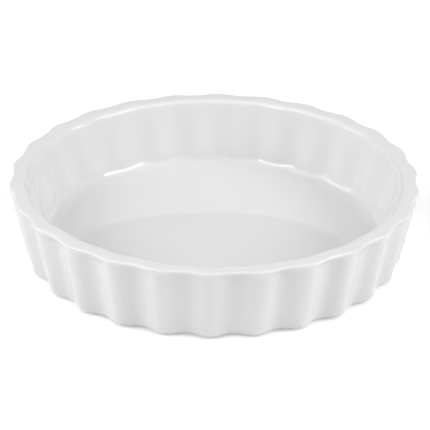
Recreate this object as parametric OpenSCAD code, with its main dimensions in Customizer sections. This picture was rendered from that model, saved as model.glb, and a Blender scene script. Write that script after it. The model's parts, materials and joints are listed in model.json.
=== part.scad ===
// Fluted souffle dish: a shallow round baking dish of glazed porcelain, cast in one piece.
// Its wall is a row of upright hollows with rounded ridges between them, and the inside
// follows them softly. The origin is the middle of the foot, on the table, with +Z up.
// One ridge faces -Y.

/* [Rim] */
// Diameter of the lip, over the ridges
rim_d = 127; // [110:1:180]
// Height from the table to the top of the lip
height = 25; // [20:0.5:60]
// Thickness of the lip, at a ridge
lip_t = 5.7; // [4.2:0.1:8]
// Rounding of the lip's outer edge
lip_outer_r = 1.1; // [0.5:0.1:1.8]
// Rounding of the lip's inner edge
lip_inner_r = 1.6; // [0.5:0.1:2]

/* [Base] */
// Diameter at the wall's bottom edge, over the ridges
base_d = 117.5; // [100:0.5:125]
// Rounding of the wall's bottom edge
base_edge_r = 1.4; // [0.5:0.1:2.5]
// Thickness of the wall at the floor, at a ridge
wall_t = 5.3; // [4.2:0.1:8]
// Thickness of the floor
floor_t = 3.4; // [2:0.1:6]
// Radius of the cove where the inside wall runs into the floor
cove_r = 4.5; // [2:0.1:10]

/* [Flutes] */
// Number of flutes round the wall
flutes = 26; // [16:1:36]
// Depth of a flute at the lip
flute_rim = 1.1; // [0.5:0.05:2]
// Depth of a flute in the wall, from the foot up to where it fades
flute_wall = 2.3; // [0.5:0.05:3]
// Height over which a flute gets shallower towards the lip
flute_fade = 2; // [1:0.5:8]
// Share of a flute's half width that belongs to the rounded ridge
ridge_share = 0.46; // [0.2:0.02:0.6]
// Depth of the soft waves inside the wall
inner_wave = 1; // [0.3:0.05:1.4]
// Depth that is left of them at the floor, once the cove has taken them in
floor_wave = 0.3; // [0:0.05:1]

/* [Foot] */
// Height of the foot ring below the underside
foot_h = 0.8; // [0.4:0.1:2]
// Width of the foot ring
foot_w = 3.6; // [2:0.1:8]
// Step from the underside's edge in a hollow to the foot ring
foot_step = 1.2; // [0.5:0.1:8]
// Chamfer on both edges of the foot ring
foot_edge = 0.3; // [0.1:0.05:0.4]

/* [Hidden] */
glaze = [0.95, 0.95, 0.94];
// Facets along one flute, and round each rounding of the wall's section
flute_steps = 10;
base_steps = 2;
fade_steps = 3;
lip_steps = 4;
cove_steps = 4;
steps = flutes * flute_steps;
front = -90;
floor_z = foot_h + floor_t;
// The wall's section through a ridge is four roundings, given by their centres [radius, height],
// and the straight lines that run between them
base_mid = [base_d / 2 - base_edge_r, foot_h + base_edge_r];
lip_outer_mid = [rim_d / 2 - lip_outer_r, height - lip_outer_r];
lip_inner_mid = [rim_d / 2 - lip_t + lip_inner_r, height - lip_inner_r];
outer_lean = lean(base_mid, lip_outer_mid, base_edge_r - lip_outer_r);
cove_mid = [outer_radius(floor_z) - wall_t - cove_r, floor_z + cove_r];
inner_lean = lean(cove_mid, lip_inner_mid, cove_r + lip_inner_r);
fade_top = lip_outer_mid[1] - lip_outer_r * sin(outer_lean);
foot_r = base_d / 2 - flute_wall - base_edge_r - foot_step;
// The foot ring runs this far up into the floor, so that both are one body
foot_root = floor_t / 2;

// Lean from upright of the line that touches two roundings, the lower on centre a, the upper on
// centre b. The step is what the centres lie apart across that line.
function lean(a, b, step) = atan2(b[0] - a[0], b[1] - a[1]) - asin(step / norm(b - a));

// Radius of the straight outer wall at a ridge, at a height
function outer_radius(z) =
    base_mid[0] + base_edge_r / cos(outer_lean) + (z - base_mid[1]) * tan(outer_lean);

// Points of an arc round a centre, from angle a0 to angle a1
function arc(mid, r, a0, a1, n) =
    [for (i = [0 : n]) let (a = a0 + (a1 - a0) * i / n) mid + r * [cos(a), sin(a)]];

// Outside of the section, from the underside up to the lip's flat top
outside = concat(
    arc(base_mid, base_edge_r, -90, -outer_lean, base_steps),
    [for (i = [0 : fade_steps - 1])
        let (z = fade_top - flute_fade * (1 - i / fade_steps)) [outer_radius(z), z]],
    arc(lip_outer_mid, lip_outer_r, -outer_lean, 90, lip_steps));

// Inside of the section, from the lip's flat top down to the flat floor
inside = concat(
    arc(lip_inner_mid, lip_inner_r, 90, 180 - inner_lean, lip_steps),
    arc(cove_mid, cove_r, -inner_lean, -90, cove_steps));

// How far the outside has come in at part u of a flute's half width: 0 on the ridge, 1 in the
// middle of the hollow. The rounded ridge and the wider hollow meet with one slope.
function flute(u) = u < ridge_share ? u * u / ridge_share : 1 - pow(1 - u, 2) / (1 - ridge_share);

// The same for the inside, where ridge and hollow are alike
function wave(u) = (1 - cos(180 * u)) / 2;

// Part of the half width at step i round the wall
function half_part(i) = let (s = (i % flute_steps) / flute_steps) 2 * min(s, 1 - s);

// Depth of the flutes at a height. They keep it up the wall and fade just below the lip.
function flute_depth(z) =
    flute_wall + (flute_rim - flute_wall) * eased(1 - (fade_top - z) / flute_fade);

// Depth of the waves inside at a height. They rise out of the floor over the height of the cove.
function wave_depth(z) = floor_wave + (inner_wave - floor_wave) * eased((z - floor_z) / cove_r);

// Part that goes from 0 to 1 without a kink, and stays 0 before and 1 after
function eased(x) = let (t = max(0, min(1, x))) t * t * (3 - 2 * t);

// How far the surface comes in at a height, outside and inside
function outer_in(z, u) = flute_depth(z) * flute(u);
function inner_in(z, u) = wave_depth(z) * wave(u);

// Ring of points round the axis at one point p of the section
function ring(p, is_outer) =
    [for (i = [0 : steps - 1])
        let (a = front + 360 * i / steps,
             u = half_part(i),
             r = p[0] - (is_outer ? outer_in(p[1], u) : inner_in(p[1], u)))
        [r * cos(a), r * sin(a), p[1]]];

// The body of the dish: the section carried round the axis, moving in and out with the flutes
module fluted_body() {
    rings = concat([for (p = outside) ring(p, true)], [for (p = inside) ring(p, false)]);
    top = len(rings) - 1;
    under_mid = steps * len(rings);
    floor_mid = under_mid + 1;
    walls = [for (j = [0 : top - 1], i = [0 : steps - 1])
        let (a = j * steps + i, b = j * steps + (i + 1) % steps)
        each [[a, a + steps, b], [b, a + steps, b + steps]]];
    underside = [for (i = [0 : steps - 1]) [under_mid, i, (i + 1) % steps]];
    floor_top = [for (i = [0 : steps - 1])
        [floor_mid, top * steps + (i + 1) % steps, top * steps + i]];
    polyhedron(
        points = concat([for (r = rings) each r], [[0, 0, foot_h], [0, 0, floor_z]]),
        faces = concat(walls, underside, floor_top));
}

// The foot ring, which stands on the table and is left bare of glaze
module foot_ring() {
    inner_r = foot_r - foot_w;
    root_z = foot_h + foot_root;
    rotate_extrude($fn = 120)
        polygon([
            [inner_r, foot_edge], [inner_r + foot_edge, 0],
            [foot_r - foot_edge, 0], [foot_r, foot_edge],
            [foot_r, root_z], [inner_r, root_z]]);
}

// The whole dish, in one piece
module dish() {
    color(glaze)
        union() {
            fluted_body();
            foot_ring();
        }
}

dish();
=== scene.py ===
# %% [markdown]
# # A fluted porcelain dish, from its section to its glaze
#
# The object is a shallow round baking dish, cast in one piece. Its wall is a row of upright
# hollows with rounded ridges between them, the inside follows them softly, and a clear glaze
# covers everything but the foot ring that it stands on.
#
# This script builds one piece, the dish, over the plain solid of the same name, and then
# the table, the lamps and the camera. Every step has a few words before it on what the part
# is in the real thing, how it could be made in Blender, and why this way was taken.

# %% The frame
import json
import math

import bmesh
import bpy
from mathutils import Matrix, Vector, noise

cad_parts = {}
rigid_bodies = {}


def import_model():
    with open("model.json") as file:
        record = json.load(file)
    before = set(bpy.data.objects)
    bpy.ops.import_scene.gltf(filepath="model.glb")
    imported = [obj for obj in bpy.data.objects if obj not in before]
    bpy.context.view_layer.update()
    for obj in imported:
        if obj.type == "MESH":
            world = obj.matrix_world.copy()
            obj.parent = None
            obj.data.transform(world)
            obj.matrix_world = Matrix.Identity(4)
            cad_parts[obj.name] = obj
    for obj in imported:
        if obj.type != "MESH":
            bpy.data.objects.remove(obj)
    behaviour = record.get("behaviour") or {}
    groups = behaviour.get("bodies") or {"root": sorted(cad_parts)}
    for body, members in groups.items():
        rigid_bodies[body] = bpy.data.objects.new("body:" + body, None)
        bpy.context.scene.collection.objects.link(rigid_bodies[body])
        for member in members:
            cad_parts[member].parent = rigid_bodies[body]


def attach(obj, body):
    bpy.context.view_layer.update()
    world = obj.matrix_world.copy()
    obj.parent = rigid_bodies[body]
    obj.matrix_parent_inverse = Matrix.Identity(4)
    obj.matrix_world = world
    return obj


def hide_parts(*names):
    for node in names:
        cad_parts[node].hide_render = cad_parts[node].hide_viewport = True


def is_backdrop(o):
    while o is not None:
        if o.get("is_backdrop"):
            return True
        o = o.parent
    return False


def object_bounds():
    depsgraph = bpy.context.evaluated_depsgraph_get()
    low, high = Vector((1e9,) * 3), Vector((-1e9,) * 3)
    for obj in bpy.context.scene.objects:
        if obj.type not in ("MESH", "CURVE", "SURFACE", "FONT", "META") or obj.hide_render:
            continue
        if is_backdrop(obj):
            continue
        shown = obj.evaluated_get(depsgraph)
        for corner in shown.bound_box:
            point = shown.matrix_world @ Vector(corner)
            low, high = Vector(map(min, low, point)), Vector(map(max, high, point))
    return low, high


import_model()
CAD_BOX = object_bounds()
print("solid's box, mm:", [round(1000 * (b - a), 2) for a, b in zip(*CAD_BOX)])

# %% [markdown]
# ## The maker's numbers
#
# A dish like this is designed as a drawing of its section, with the radii of its edges, and a
# count of flutes. The same few numbers are kept here in millimetres, named once, so that each
# later step can be read against the drawing. Blender itself works in metres.
#
# A few of them are as glazed, not as drawn. The glaze creeps back from the lip's outer edge and
# leaves it tighter than the drawing, it fills the inner edge a little, and it evens out the soft
# waves of the inside towards the lip and the floor.

# %% The maker's numbers
MM = 0.001

RIM_R = 63.5
HEIGHT = 25.0
LIP_T = 5.7
LIP_OUTER_R = 0.55
LIP_INNER_R = 1.4
LIP_CROWN = 0.05
LIP_WAVE = 0.5

BASE_R = 58.75
BASE_EDGE_R = 1.4
WALL_T = 5.3
FLOOR_T = 3.4
COVE_R = 4.5

FLUTES = 26
FLUTE_RIM = 1.1
FLUTE_WALL = 2.3
FLUTE_FADE = 2.0
LIP_FADE = 6.0
RIDGE_SHARE = 0.46
INNER_WAVE = 1.0
FLOOR_WAVE = 0.1
WAVE_FROM = 0.4
WAVE_RISE = 5.5

FOOT_H = 0.8
FOOT_W = 3.6
FOOT_STEP = 1.2
FOOT_EDGE = 0.3

FLOOR_Z = FOOT_H + FLOOR_T
FOOT_R = BASE_R - FLUTE_WALL - BASE_EDGE_R - FOOT_STEP
print("foot ring, mm:", round(FOOT_R - FOOT_W, 2), "to", round(FOOT_R, 2))

# %% [markdown]
# ## The wall's two lines
#
# Seen in section, each face of the wall is a straight line that leans outwards and touches a
# rounding below and a rounding above. A drawing gives the radii and the sizes over them, so the
# lean has to be worked out. It is the direction between the two centres, turned by the little
# angle that the difference of the radii makes. Where the lines meet the flat planes, they give
# the sharp corners that the next steps round off.

# %% The wall's two lines
def lean(low, high, step):
    """Lean from upright of the line that touches two roundings with these centres."""
    across, up = high[0] - low[0], high[1] - low[1]
    return math.atan2(across, up) - math.asin(step / math.hypot(across, up))


def line_radius(centre, offset, tilt, z):
    """Radius at height z of the leaning line that runs at this offset from the centre."""
    return centre[0] + offset / math.cos(tilt) + (z - centre[1]) * math.tan(tilt)


base_mid = (BASE_R - BASE_EDGE_R, FOOT_H + BASE_EDGE_R)
lip_outer_mid = (RIM_R - LIP_OUTER_R, HEIGHT - LIP_OUTER_R)
lip_inner_mid = (RIM_R - LIP_T + LIP_INNER_R, HEIGHT - LIP_INNER_R)
outer_tilt = lean(base_mid, lip_outer_mid, BASE_EDGE_R - LIP_OUTER_R)
cove_mid = (
    line_radius(base_mid, BASE_EDGE_R, outer_tilt, FLOOR_Z) - WALL_T - COVE_R,
    FLOOR_Z + COVE_R,
)
inner_tilt = lean(cove_mid, lip_inner_mid, COVE_R + LIP_INNER_R)
print("lean of the wall, degrees: outside", round(math.degrees(outer_tilt), 2),
      "inside", round(math.degrees(inner_tilt), 2))

# %% [markdown]
# ## The section
#
# The dish is a shape of revolution before it is fluted, so one section is enough. It could be
# typed in as a long list of points. It is easier to read as a chain of ten corners, as on the
# drawing, whose corners are then rounded by the bevel operator, one radius each.
#
# Two layers of numbers ride along on the points: how much the outside flutes show there, and
# how much the inside waves do. They are 1 on the two faces of the wall and 0 on the foot ring
# and in the middle of the floor, and the operators copy them to the points that they add.

# %% The section's corners
section = bmesh.new()
fluting = section.verts.layers.float.new("fluting")
waving = section.verts.layers.float.new("waving")

CORNERS = {
    "under": (0.0, FOOT_H, 0, 0),
    "foot_in_root": (FOOT_R - FOOT_W, FOOT_H, 0, 0),
    "foot_in": (FOOT_R - FOOT_W, 0.0, 0, 0),
    "foot_out": (FOOT_R, 0.0, 0, 0),
    "foot_out_root": (FOOT_R, FOOT_H, 0, 0),
    "base_edge": (line_radius(base_mid, BASE_EDGE_R, outer_tilt, FOOT_H), FOOT_H, 1, 0),
    "lip_out": (line_radius(base_mid, BASE_EDGE_R, outer_tilt, HEIGHT), HEIGHT, 1, 0),
    "lip_in": (line_radius(cove_mid, COVE_R, inner_tilt, HEIGHT), HEIGHT, 0, 1),
    "cove": (line_radius(cove_mid, COVE_R, inner_tilt, FLOOR_Z), FLOOR_Z, 0, 1),
    "floor": (0.0, FLOOR_Z, 0, 0),
}
corner = {}
for name, (r, z, outer, inner) in CORNERS.items():
    corner[name] = section.verts.new((r * MM, 0, z * MM))
    corner[name][fluting], corner[name][waving] = outer, inner
order = list(corner.values())
for a, b in zip(order, order[1:]):
    section.edges.new((a, b))
print("section:", len(section.verts), "corners")

# %% [markdown]
# The bevel operator wants to know how far from the corner the rounding starts. For a radius and
# the angle between the two sides that distance is the radius over the tangent of half the angle.
# The radius can't be typed straight in, because the wall leans and its corners aren't square.

# %% Rounding the section's corners
def round_corner(name, radius, segments):
    """Round one corner of the section to a radius in millimetres."""
    v = corner[name]
    sides = [(e.other_vert(v).co - v.co).normalized() for e in v.link_edges]
    half = sides[0].angle(sides[1]) / 2
    bmesh.ops.bevel(
        section, geom=[v], affect="VERTICES", offset_type="OFFSET",
        offset=radius * MM / math.tan(half), segments=segments, profile=0.5, material=-1,
    )
    print(f"{name}: radius {radius} mm in {segments} segments")


for name, radius, segments in (
    ("foot_in_root", FOOT_EDGE, 2), ("foot_in", FOOT_EDGE, 2),
    ("foot_out", FOOT_EDGE, 2), ("foot_out_root", FOOT_EDGE, 2),
    ("base_edge", BASE_EDGE_R, 6), ("lip_out", LIP_OUTER_R, 8),
    ("lip_in", LIP_INNER_R, 8), ("cove", COVE_R, 10),
):
    round_corner(name, radius, segments)
print("section:", len(section.verts), "points")

# %% [markdown]
# Between the roundings the section is still one long edge each. The flutes bend the wall across
# those edges, and the glaze will ripple them a little, so the straight runs are divided. The wall
# gets short steps and the flat floor long ones, because nothing happens there.

# %% Dividing the straight runs
WALL_STEP = 1.0
TOP_STEP = 0.7
FLAT_STEP = 4.0
HAIR = 0.01


def run_step(edge):
    """Longest step in millimetres for one straight stretch of the section."""
    a, b = (v.co for v in edge.verts)
    if min(a.x, b.x) < MM:
        return FLAT_STEP
    if min(a.z, b.z) > (HEIGHT - HAIR) * MM:
        return TOP_STEP
    return WALL_STEP


for edge in section.edges[:]:
    cuts = math.ceil(edge.calc_length() / MM / run_step(edge)) - 1
    if cuts > 0:
        bmesh.ops.subdivide_edges(section, edges=[edge], cuts=cuts)
print("section:", len(section.verts), "points after dividing")

# %% [markdown]
# The top of a real lip isn't a flat land. Glaze creeps back from both edges while it is molten
# and leaves the middle a hair higher. A crown of a twentieth of a millimetre is too little to see
# as a shape, but it spreads the shine over the lip, so the points of the top are lowered towards
# both edges.

# %% The crown of the lip
lip_mid = (lip_outer_mid[0] + lip_inner_mid[0]) / 2 * MM
for v in section.verts:
    rise = (v.co.z / MM - (HEIGHT - LIP_OUTER_R)) / LIP_OUTER_R
    if rise > 0:
        side = (v.co.x - lip_mid) / (LIP_T / 2 * MM)
        v.co.z -= LIP_CROWN * MM * min(side * side, 1) * rise
print("lip's middle at radius", round(lip_mid / MM, 2), "mm")

# %% [markdown]
# ## Turning the section
#
# On the wheel or in the mould the body is round first. The spin operator does the same: it
# carries the section round the upright axis and leaves faces behind. The number of steps is a
# multiple of the flutes, so that every flute gets the same share, with a point on each ridge.
# The two ends of the section lie on the axis and come out as stacks of points, and these are
# merged to close the poles. A spin can turn a shape inside out, so the normals are recalculated.

# %% Turning the section
FLUTE_STEPS = 20
STEPS = FLUTES * FLUTE_STEPS

bmesh.ops.spin(
    section, geom=section.verts[:] + section.edges[:], cent=(0, 0, 0), axis=(0, 0, 1),
    angle=2 * math.pi, steps=STEPS, use_merge=True,
)
bmesh.ops.remove_doubles(section, verts=section.verts[:], dist=0.001 * MM)
bmesh.ops.recalc_face_normals(section, faces=section.faces[:])
body = section
print("turned body:", len(body.verts), "points,", len(body.faces), "faces")

# %% [markdown]
# ## The flutes
#
# The flutes could be cut one by one, or modelled once and repeated round the axis. Both leave
# seams to hide. Here each point of the turned body is simply drawn in towards the axis, by a
# depth that depends on where it is between two ridges. Outside, a rounded ridge and a wider
# hollow are two parabolas that meet with one slope. The hollow keeps its depth up the wall and
# ends in a soft arch under the lip, which needs its full thickness. Glaze evens out the change
# from ridge to hollow, so the depth is taken as the mean of three places side by side. Inside,
# where the mould's core is softer, ridge and hollow are alike, a plain wave that rises a little
# above the floor. No two flutes get quite the same depth, as if each had been trimmed by hand.
#
# The two layers from the section now say how far each point takes part, so the flutes fade out
# over the underside and the lip by themselves.

# %% The flutes
FRONT = math.radians(-90)
UNLIKE = 0.12
UNLIKE_STEP, UNLIKE_PLACE = 2.7, (0.4, 0.8)
GLAZE_SPREAD = 0.15


def flute_part(angle):
    """Place between a ridge, 0, and the middle of the next hollow, 1."""
    turn = (angle - FRONT) / (2 * math.pi) * FLUTES
    return 2 * abs(turn - round(turn))


def flute(u):
    """How far a hollow has come in at u: a rounded ridge, then a wider hollow."""
    if u < RIDGE_SHARE:
        return u * u / RIDGE_SHARE
    return 1 - (1 - u) ** 2 / (1 - RIDGE_SHARE)


def softened(u):
    """The same hollow under its glaze, which evens out the change from ridge to hollow."""
    places = (abs(u - GLAZE_SPREAD), u, 1 - abs(1 - u - GLAZE_SPREAD))
    return sum(flute(place) for place in places) / 3


def wave(u):
    """The same for the inside."""
    return (1 - math.cos(math.pi * u)) / 2


def eased(x):
    """A part that goes from 0 to 1 without a kink, and stays 0 before and 1 after."""
    x = min(max(x, 0), 1)
    return x * x * (3 - 2 * x)


fade_top = lip_outer_mid[1] - LIP_OUTER_R * math.sin(outer_tilt)


def flute_depth(z):
    """Depth of the outside's flutes in millimetres at height z. They fade under the lip."""
    return FLUTE_WALL + (FLUTE_RIM - FLUTE_WALL) * eased(1 - (fade_top - z) / FLUTE_FADE)


def wave_depth(z):
    """Depth of the inside's waves at height z. They fade into the cove and under the lip."""
    risen = eased((z - FLOOR_Z - WAVE_FROM) / WAVE_RISE)
    low = FLOOR_WAVE + (INNER_WAVE - FLOOR_WAVE) * risen
    return low + (LIP_WAVE - INNER_WAVE) * eased((z - HEIGHT + LIP_FADE) / LIP_FADE)


def hand(angle):
    """Depth of this one hollow against the mean: no two are cut quite alike."""
    hollow = math.floor((angle - FRONT) / (2 * math.pi) * FLUTES) % FLUTES
    return 1 + UNLIKE * noise.noise(Vector((hollow * UNLIKE_STEP, *UNLIKE_PLACE)))


def draw_in(v):
    """Move one point of the turned body in towards the axis."""
    radius = math.hypot(v.co.x, v.co.y)
    if radius == 0:
        return
    angle = math.atan2(v.co.y, v.co.x)
    u = flute_part(angle)
    z = v.co.z / MM
    outside = v[fluting] * flute_depth(z) * softened(u) * hand(angle)
    inward = outside + v[waving] * wave_depth(z) * wave(u)
    k = 1 - inward * MM / radius
    v.co.x *= k
    v.co.y *= k


for v in body.verts:
    draw_in(v)
print("lip over the ridges, mm:",
      round(2000 * max(math.hypot(v.co.x, v.co.y) for v in body.verts), 2))

# %% [markdown]
# ## Out of true by a tenth
#
# A cast dish is never as true as its drawing. The wet body leans a little as it leaves the
# mould, it sways again in the kiln, and the glaze dries in long soft ripples. On white glaze this
# is what makes one flute shine where the next one doesn't. The material could fake it with bump,
# but the outline and the lip would stay ruler straight, so the points themselves are moved along
# their normals, by a long sway of a tenth of a millimetre and a short ripple of a quarter of
# that. The foot ring is ground flat on a real dish, so the movement fades out towards it.

# %% Out of true by a tenth
SWAY_LENGTH, SWAY = 38.0, 0.16
RIPPLE_LENGTH, RIPPLE = 11.0, 0.035
RIPPLE_PLACE = Vector((5.0, 2.0, 8.0))
TRUE_BELOW, FREE_ABOVE = 0.8, 3.0


def unevenness(place):
    """How far a point of the surface stands out, in millimetres, at a place in millimetres."""
    sway = SWAY * noise.noise(place / SWAY_LENGTH)
    ripple = RIPPLE * noise.noise(place / RIPPLE_LENGTH + RIPPLE_PLACE)
    free = min(max((place.z - TRUE_BELOW) / (FREE_ABOVE - TRUE_BELOW), 0), 1)
    return free * (sway + ripple)


body.normal_update()
moved = [unevenness(v.co / MM) for v in body.verts]
for v, out in zip(body.verts, moved):
    v.co += v.normal * out * MM
print("moved by", round(min(moved), 3), "to", round(max(moved), 3), "mm")

# %% [markdown]
# ## Where glaze gathers, and where shade is painted
#
# Molten glaze runs off sharp edges and gathers in hollows. The material will want to know which
# is which, and the shape can tell it: in a hollow the neighbours of a point stand in front of it,
# on an edge they lie behind it. The mean of that, in parts per millimetre, is stored as one more
# layer on the points. It is measured on the bare geometry, so it holds from every side.
# The glaze's colour also uses this layer for painted shade, darker in the hollows and the cove.

# %% Where glaze gathers, and where shade is painted
hollowness_layer = body.verts.layers.float.new("hollowness_layer")
body.normal_update()
for v in body.verts:
    total = 0.0
    for e in v.link_edges:
        step = e.other_vert(v).co - v.co
        total += step.dot(v.normal) / step.length_squared
    v[hollowness_layer] = 2 * MM * total / len(v.link_edges)
print("hollowness per mm, from", round(min(v[hollowness_layer] for v in body.verts), 2),
      "to", round(max(v[hollowness_layer] for v in body.verts), 2))

# %% [markdown]
# ## The dish
#
# The body is finished and becomes a mesh with smooth shading. It is one object, as the real dish
# is one casting: the glaze isn't a second skin over it but part of its surface, so it comes with
# the material. The object takes the place of the plain solid and rides on the same body.

# %% The dish
mesh = bpy.data.meshes.new("porcelain_dish")
body.to_mesh(mesh)
body.free()
mesh.polygons.foreach_set("use_smooth", [True] * len(mesh.polygons))
dish = bpy.data.objects.new("porcelain_dish", mesh)
bpy.context.collection.objects.link(dish)
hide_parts("dish")
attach(dish, "root")
print("dish:", len(mesh.vertices), "points,", len(mesh.polygons), "faces")

# %% [markdown]
# ## The glaze
#
# Glazed porcelain is a white, slightly see-through body under a coat of clear glass. It could be
# built as two layers, a rough white one and a glossy one over it. One Principled shader gives
# the same result here: its colour is the white of the body, and its low roughness and the index
# of 1.5 are the glass. What is the same all over is set on the shader's own sockets.
#
# The interest is in what isn't the same all over, and it is built from three measures: how much
# a place is hollow, how high it stands over the table, and slow and quick noise in between.

# %% The glaze's shader
GLAZE_INDEX = 1.52

glaze = bpy.data.materials.new("white_glaze")
glaze.use_nodes = True
shader = glaze.node_tree.nodes["Principled BSDF"]
shader.inputs["IOR"].default_value = GLAZE_INDEX
shader.inputs["Subsurface Weight"].default_value = 0.0
mesh.materials.append(glaze)


def part(kind, label, **values):
    """Add one node to the glaze and set or link its inputs by name."""
    new = glaze.node_tree.nodes.new(kind)
    new.label = label
    for name, value in values.items():
        socket = new.inputs[name.replace("_", " ")]
        if isinstance(value, bpy.types.NodeSocket):
            glaze.node_tree.links.new(value, socket)
        else:
            socket.default_value = value
    return new


def ramp(label, value, low, high, to_low=0.0, to_high=1.0):
    """Carry a value from one range to another, and stop at its ends."""
    new = part("ShaderNodeMapRange", label, Value=value, From_Min=low, From_Max=high,
               To_Min=to_low, To_Max=to_high)
    new.clamp = True
    return new.outputs["Result"]


def noise_at(label, per_metre, detail, roughness=0.5):
    """Noise on the object's own coordinates, so many features to the metre."""
    new = part("ShaderNodeTexNoise", label, Vector=place, Scale=per_metre, Detail=detail,
               Roughness=roughness)
    return new.outputs["Fac"]


place = part("ShaderNodeTexCoord", "place on the dish").outputs["Object"]
print("glaze: index", round(shader.inputs["IOR"].default_value, 2))

# %% [markdown]
# Where glaze lies thick it is a trace cooler and greyer, because light passes more glass. It
# gathers in the hollows and the cove and is thin on a ridge. The darker white there is also
# painted shade, as shade falls in the hollows. The top of the lip is painted light: it gets the
# lighter, warmer white, as it takes light from the whole room. The difference is five parts in a
# hundred, and much more would look like dirt. Slow clouds, a little weaker still, break it up, as
# a dipped dish takes its glaze unevenly.

# %% The glaze's colour
# The lighter white is painted light on the lip; the darker one is pooled glaze and painted shade.
THIN_AND_LIT_WHITE = (0.815, 0.813, 0.807, 1)
POOLED_AND_SHADED_WHITE = (0.764, 0.768, 0.768, 1)
LIP_LIGHT_FROM, LIP_LIGHT_TO = 24.6, 22.6
CLOUDS_PER_METRE = 30

hollow = part("ShaderNodeAttribute", "how hollow")
hollow.attribute_name = "hollowness_layer"
# Painted shade and pooled glaze: darker in the hollows and the cove, lighter on edges.
pooled_and_shaded = ramp("glaze pooled and shade painted in hollows", hollow.outputs["Fac"], -0.25, 0.05, 0.55, 1)
height = part("ShaderNodeSeparateXYZ", "height", Vector=place).outputs["Z"]
# Painted light: the top of the lip is made lighter than the wall below it.
below_lit_lip = ramp("painted light on the lip", height, LIP_LIGHT_TO * MM, LIP_LIGHT_FROM * MM, 1, 0)
clouds = ramp("clouds", noise_at("clouds", CLOUDS_PER_METRE, 3), 0.35, 0.65, -0.15, 0)


def combined(label, operation, a, b):
    """Add or multiply two measures of the glaze, and keep them between 0 and 1."""
    new = part("ShaderNodeMath", label)
    new.operation, new.use_clamp = operation, True
    glaze.node_tree.links.new(a, new.inputs[0])
    glaze.node_tree.links.new(b, new.inputs[1])
    return new.outputs[0]


# Painted shade and pooled glaze below the lip, and painted light on the lip itself.
pooling_shade_and_lip_light = combined("glaze pooling, painted shade and lip light", "MULTIPLY", pooled_and_shaded, below_lit_lip)
shading_pooling_and_clouds = combined("painted light, pooling and clouds", "ADD", pooling_shade_and_lip_light, clouds)


def mixed(label, factor, a, b):
    """Mix two colours, each a value or a socket."""
    new = part("ShaderNodeMix", label)
    new.data_type = "RGBA"
    for socket, value in zip((new.inputs[0], new.inputs[6], new.inputs[7]), (factor, a, b)):
        if isinstance(value, bpy.types.NodeSocket):
            glaze.node_tree.links.new(value, socket)
        else:
            socket.default_value = value
    return new.outputs[2]


# The glaze's white, with painted light on the lip and painted shade in the hollows.
white = mixed("white of the glaze", shading_pooling_and_clouds, THIN_AND_LIT_WHITE, POOLED_AND_SHADED_WHITE)
print("lighter and darker white:", THIN_AND_LIT_WHITE[:3], POOLED_AND_SHADED_WHITE[:3])

# %% [markdown]
# ## The bare foot
#
# The ring that stands on the kiln's shelf has to be wiped clean of glaze, or the dish would bake
# fast to it. There the body shows: matt, a little warmer, with a fine grain, and a thin brown
# shade where the glaze ends. It could be a separate material on its own faces. Because the line
# of the wiped glaze wanders a little, it is drawn by height over the table instead, with noise
# on the height.

# %% The bare foot
BARE_BELOW = 0.42
LINE_WANDERS = 0.22
LINE_WIDTH = 0.06
SHADE_WIDTH = 0.12
WANDERS_PER_METRE = 160
BARE_WHITE = (0.74, 0.72, 0.68, 1)
LINE_SHADE = (0.62, 0.56, 0.48, 1)

wander = ramp("line wanders", noise_at("line wanders", WANDERS_PER_METRE, 2), 0.3, 0.7,
              -LINE_WANDERS / 2 * MM, LINE_WANDERS / 2 * MM)
level = part("ShaderNodeMath", "height over the line")
level.operation = "ADD"
glaze.node_tree.links.new(height, level.inputs[0])
glaze.node_tree.links.new(wander, level.inputs[1])
edge = BARE_BELOW * MM
bare = ramp("bare", level.outputs[0], edge, edge + LINE_WIDTH * MM, 1, 0)
near_line = ramp("near the line", level.outputs[0], edge - SHADE_WIDTH * MM, edge, 0, 1)
body_colour = mixed("bare body", near_line, BARE_WHITE, LINE_SHADE)
colour = mixed("glaze or body", bare, white, body_colour)
glaze.node_tree.links.new(colour, shader.inputs["Base Color"])
print("bare below", BARE_BELOW, "mm")

# %% [markdown]
# Glaze shines nearly as a mirror, but not evenly: wiping and washing leave it a touch duller in
# patches. The roughness goes from 0.02 to 0.05 over slow noise, and up to 0.75 on the bare foot.

# %% How the glaze shines
GLOSS_BEST, GLOSS_WORST, BARE_ROUGH = 0.02, 0.05, 0.75
PATCHES_PER_METRE = 45

patches = noise_at("duller patches", PATCHES_PER_METRE, 4, 0.6)
gloss = ramp("how dull", patches, 0.35, 0.7, GLOSS_BEST, GLOSS_WORST)
rough = ramp("gloss or bare", bare, 0, 1, gloss, BARE_ROUGH)
glaze.node_tree.links.new(rough, shader.inputs["Roughness"])
print("roughness", GLOSS_BEST, "to", GLOSS_WORST, "and", BARE_ROUGH, "on the foot")

# %% [markdown]
# The last of the surface is too small for points: a peel like an orange's, a millimetre from
# crest to crest and under a hundredth high, and the grain of the bare foot. Two Bump nodes in a
# row add them to the shading, and nothing that shows as a shape is left to them.

# %% Orange peel and grain
PEEL_HEIGHT, PEEL_PER_METRE = 0.003, 700
GRAIN_HEIGHT, GRAIN_PER_METRE = 0.03, 4000

peel = part("ShaderNodeBump", "orange peel", Strength=1.0, Distance=PEEL_HEIGHT * MM,
            Height=noise_at("orange peel", PEEL_PER_METRE, 1))
grain_height = part("ShaderNodeMath", "grain where bare")
grain_height.operation = "MULTIPLY"
fine_noise = noise_at("grain", GRAIN_PER_METRE, 3, 0.7)
glaze.node_tree.links.new(fine_noise, grain_height.inputs[0])
glaze.node_tree.links.new(bare, grain_height.inputs[1])
grain = part("ShaderNodeBump", "grain of the foot", Strength=1.0, Distance=GRAIN_HEIGHT * MM,
             Height=grain_height.outputs[0], Normal=peel.outputs["Normal"])
glaze.node_tree.links.new(grain.outputs["Normal"], shader.inputs["Normal"])
print("glaze:", len(glaze.node_tree.nodes), "nodes")

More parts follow.
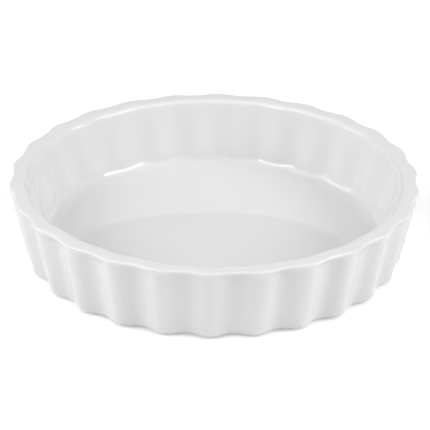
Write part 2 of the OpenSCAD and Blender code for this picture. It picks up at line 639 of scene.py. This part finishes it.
# %% [markdown]
# ## The table
#
# The dish stands on a plain white table that runs on beyond what the camera sees. It is only a
# stage for the light, so it is one flat square with one material. Two things are asked of it. It
# has to look white without more light being thrown at the dish, and it has to keep the dish's
# soft shadow. So it is a dull white paint with a faint glow of its own, which only the camera
# and mirroring surfaces can see, and which lights nothing.

# %% The table
TABLE_HALF = 6.0
TABLE_WHITE = (0.83, 0.83, 0.83, 1)
TABLE_GLOW = 0.33

table_shape = bmesh.new()
bmesh.ops.create_grid(table_shape, x_segments=1, y_segments=1, size=TABLE_HALF)
table_mesh = bpy.data.meshes.new("table")
table_shape.to_mesh(table_mesh)
table_shape.free()
table = bpy.data.objects.new("table", table_mesh)
bpy.context.collection.objects.link(table)
table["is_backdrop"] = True


def seen_directly(tree):
    """A value that is 1 for what the camera or a mirroring surface sees, 0 for plain light."""
    path = tree.nodes.new("ShaderNodeLightPath")
    seen = path.outputs["Is Camera Ray"]
    for ray in ("Is Glossy Ray", "Is Transmission Ray"):
        either = tree.nodes.new("ShaderNodeMath")
        either.operation = "MAXIMUM"
        tree.links.new(seen, either.inputs[0])
        tree.links.new(path.outputs[ray], either.inputs[1])
        seen = either.outputs[0]
    return seen


paint = bpy.data.materials.new("white_table")
paint.use_nodes = True
tree = paint.node_tree
tree.nodes.clear()
dull = tree.nodes.new("ShaderNodeBsdfDiffuse")
dull.inputs["Color"].default_value = TABLE_WHITE
strength = tree.nodes.new("ShaderNodeMath")
strength.operation = "MULTIPLY"
strength.inputs[1].default_value = TABLE_GLOW
tree.links.new(seen_directly(tree), strength.inputs[0])
glow = tree.nodes.new("ShaderNodeEmission")
tree.links.new(strength.outputs[0], glow.inputs["Strength"])
both = tree.nodes.new("ShaderNodeAddShader")
tree.links.new(dull.outputs[0], both.inputs[0])
tree.links.new(glow.outputs[0], both.inputs[1])
surface = tree.nodes.new("ShaderNodeOutputMaterial")
tree.links.new(both.outputs[0], surface.inputs["Surface"])
table_mesh.materials.append(paint)
print("table:", 2 * TABLE_HALF, "m square, glow", TABLE_GLOW)

# %% [markdown]
# ## The lamps
#
# White glaze shows its lamps twice. As a dull body it takes their sum, which shades the flutes,
# and as a mirror it draws their outlines on every rounded edge. One even sky would shade it
# well enough but leave the edges dead. So the light comes from a few soft boxes, as in a studio
# for small things: a strong one on the right, a smaller one on the left that is as bright, with
# a wide screen beside it, and a dim wide one high up on each side, for the lip and the floor.
#
# Each is given as directions that a photographer would give: how far round from the camera's
# side, how high, how wide and tall it looks from the dish, and how bright it is against a white
# sheet. Its power follows from its area. They are kept out of the camera's sight, so that they
# never stand in a picture taken from another side.

# %% The lamps
LAMP_DISTANCE = 1.0
LAMPS = {
    "right_box": (72, 32, 38, 20, 6.3),
    "left_box": (310, 34, 23, 18, 6.2),
    "left_screen": (268, 28, 34, 30, 2.7),
    "right_upper": (69, 55, 44, 18, 1.55),
    "left_upper": (305, 57, 44, 18, 1.8),
}


def soft_box(name, round_, high, wide, tall, brightness):
    """An area lamp at these degrees that faces the dish."""
    a, e = math.radians(round_), math.radians(high)
    towards = Vector((math.sin(a) * math.cos(e), -math.cos(a) * math.cos(e), math.sin(e)))
    lamp = bpy.data.lights.new(name, "AREA")
    lamp.shape = "RECTANGLE"
    lamp.size = 2 * LAMP_DISTANCE * math.tan(math.radians(wide / 2))
    lamp.size_y = 2 * LAMP_DISTANCE * math.tan(math.radians(tall / 2))
    lamp.energy = math.pi * lamp.size * lamp.size_y * brightness
    box = bpy.data.objects.new(name, lamp)
    bpy.context.collection.objects.link(box)
    box.location = LAMP_DISTANCE * towards
    box.rotation_mode = "QUATERNION"
    box.rotation_quaternion = towards.to_track_quat("Z", "Y")
    box.visible_camera = False
    print(f"{name}: {lamp.size:.2f} x {lamp.size_y:.2f} m, {lamp.energy:.2f} W")


for name, numbers in LAMPS.items():
    soft_box(name, *numbers)

# %% [markdown]
# The rest of the light comes back from the room, evenly and from all sides, at a third of
# white. Low down the room ends in a white sweep. It is drawn in the world's colour, by height
# over the horizon, and like the table's glow it is there for the camera and for mirroring
# surfaces, while the plain light stays as even as before.

# %% The room
ROOM_LIGHT = 0.333
SWEEP_WHITE = 1.0
SWEEP_TOP, SWEEP_GONE = 3, 7

SCENE = bpy.context.scene
room = bpy.data.worlds.new("studio")
SCENE.world = room
room.use_nodes = True
tree = room.node_tree
direction = tree.nodes.new("ShaderNodeTexCoord")
parts = tree.nodes.new("ShaderNodeSeparateXYZ")
tree.links.new(direction.outputs["Generated"], parts.inputs[0])
sweep = tree.nodes.new("ShaderNodeMapRange")
sweep.clamp = True
tree.links.new(parts.outputs["Z"], sweep.inputs["Value"])
for socket, value in (
    ("From Min", math.sin(math.radians(SWEEP_TOP))),
    ("From Max", math.sin(math.radians(SWEEP_GONE))),
    ("To Min", 1.0), ("To Max", 0.0),
):
    sweep.inputs[socket].default_value = value
share = tree.nodes.new("ShaderNodeMath")
share.operation = "MULTIPLY"
tree.links.new(sweep.outputs["Result"], share.inputs[0])
tree.links.new(seen_directly(tree), share.inputs[1])
level = tree.nodes.new("ShaderNodeMapRange")
tree.links.new(share.outputs[0], level.inputs["Value"])
level.inputs["To Min"].default_value = ROOM_LIGHT
level.inputs["To Max"].default_value = SWEEP_WHITE
background = tree.nodes["Background"]
background.inputs["Color"].default_value = (1, 1, 1, 1)
tree.links.new(level.outputs["Result"], background.inputs["Strength"])
print("room:", ROOM_LIGHT, "sweep:", SWEEP_WHITE)

# %% [markdown]
# ## The camera
#
# The camera stands a good eighty centimetres off, 27 degrees up, and looks along the line
# through the front ridge. Those numbers were found from the outline of the dish, its lip and the
# places of its ridges. Small things are photographed from far off with a long lens, which keeps
# the near wall and the far wall at nearly one scale, and this one follows that.
#
# The camera is built from three directions that stand square on one another: back to the
# camera, to its right, and up. A last small roll is what a hand-set tripod leaves.

# %% The camera
PICTURE = 430
FOCAL_PIXELS = 2657.1
CAMERA_DISTANCE = 829.7
CAMERA_HIGH = 26.897
CAMERA_ROUND = 0.804
CAMERA_ROLL = 0.692
AIM_RIGHT, AIM_UP = 0.445, 11.817

a, e = math.radians(CAMERA_ROUND), math.radians(CAMERA_HIGH)
back = Vector((math.sin(a) * math.cos(e), -math.cos(a) * math.cos(e), math.sin(e)))
right = Vector((math.cos(a), math.sin(a), 0))
up = back.cross(right)

lens = bpy.data.cameras.new("camera")
lens.lens = FOCAL_PIXELS / PICTURE * lens.sensor_width
lens.shift_x, lens.shift_y = -0.5 / PICTURE, 0.5 / PICTURE
lens.clip_start, lens.clip_end = 0.01, 100
camera = bpy.data.objects.new("camera", lens)
bpy.context.collection.objects.link(camera)
camera.location = (right * AIM_RIGHT + Vector((0, 0, AIM_UP)) + back * CAMERA_DISTANCE) * MM
turned = Matrix((right, up, back)).transposed()
rolled = turned @ Matrix.Rotation(math.radians(CAMERA_ROLL), 3, "Z")
camera.rotation_mode = "QUATERNION"
camera.rotation_quaternion = rolled.to_quaternion()
SCENE.camera = camera
SCENE.view_settings.view_transform = "Standard"
print("camera:", [round(c, 4) for c in camera.location], "lens", round(lens.lens, 1), "mm")

# %% [markdown]
# ## The two boxes
#
# The finished dish has to fill the same space as the plain solid that it stands in for, or it
# would no longer fit where the solid does. Both boxes are written down before the script ends.

# %% The sizes, and the end
boxes = {"cad": [list(p) for p in CAD_BOX], "visual": [list(p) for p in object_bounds()]}
for name, (low, high) in boxes.items():
    print(name, "box, mm:", [round(1000 * (b - a), 2) for a, b in zip(low, high)])
